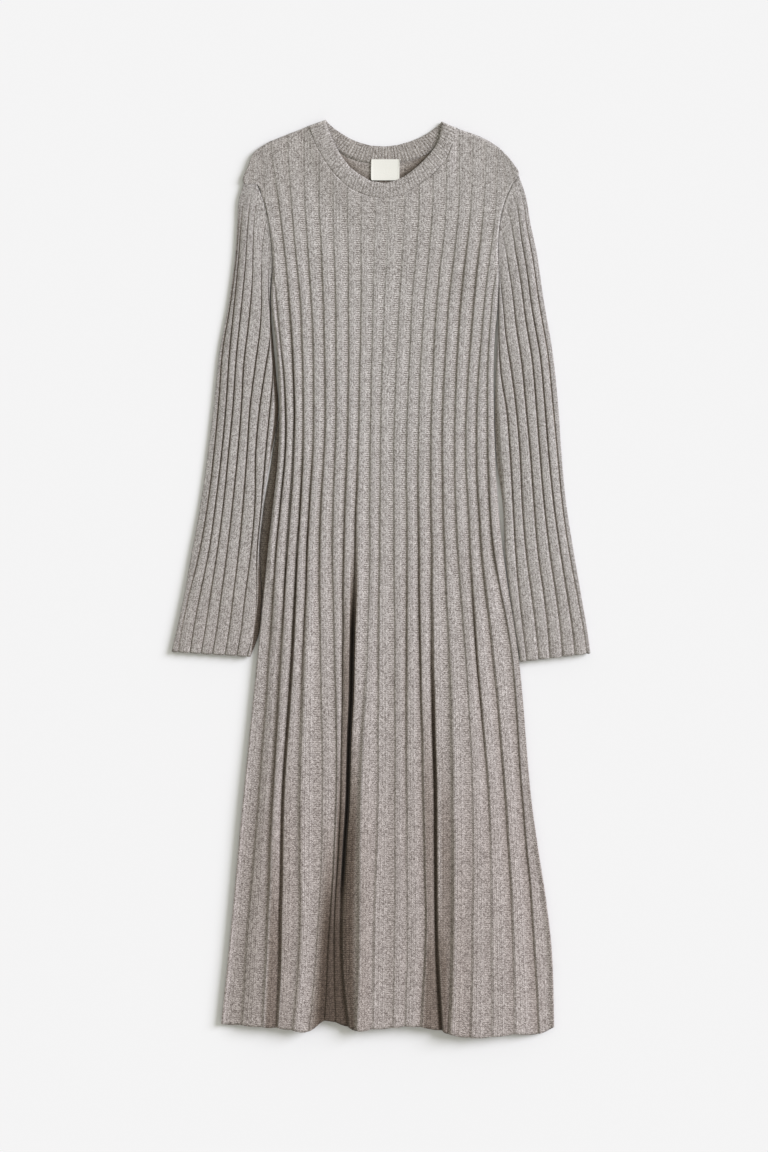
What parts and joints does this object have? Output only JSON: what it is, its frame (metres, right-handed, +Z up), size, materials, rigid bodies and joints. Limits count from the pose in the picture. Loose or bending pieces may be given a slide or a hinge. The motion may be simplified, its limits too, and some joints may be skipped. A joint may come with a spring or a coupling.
{
  "type": "sweater dress",
  "caption": "Long-sleeved ribbed knit sweater dress with a round neck, a fitted waist and a flared skirt, laid flat on its back.",
  "frame": {"origin": "on the surface the dress lies on, under the middle of its outline", "axes": "+Y towards the neck, +X towards the wearer's left sleeve, +Z up, out of the dress's front"},
  "size_m": [0.553, 1.211, 0.0163],
  "materials": {
    "wool_knit": "soft heather grey-beige wool in a wide rib knit",
    "woven_label": "plain off-white woven tape, blank"
  },
  "bodies": {
    "root": {"front_panel": "wool_knit", "back_panel": "wool_knit", "sleeve_right": "wool_knit", "sleeve_left": "wool_knit", "neckband": "wool_knit", "label": "woven_label"}
  },
  "joints": []
}
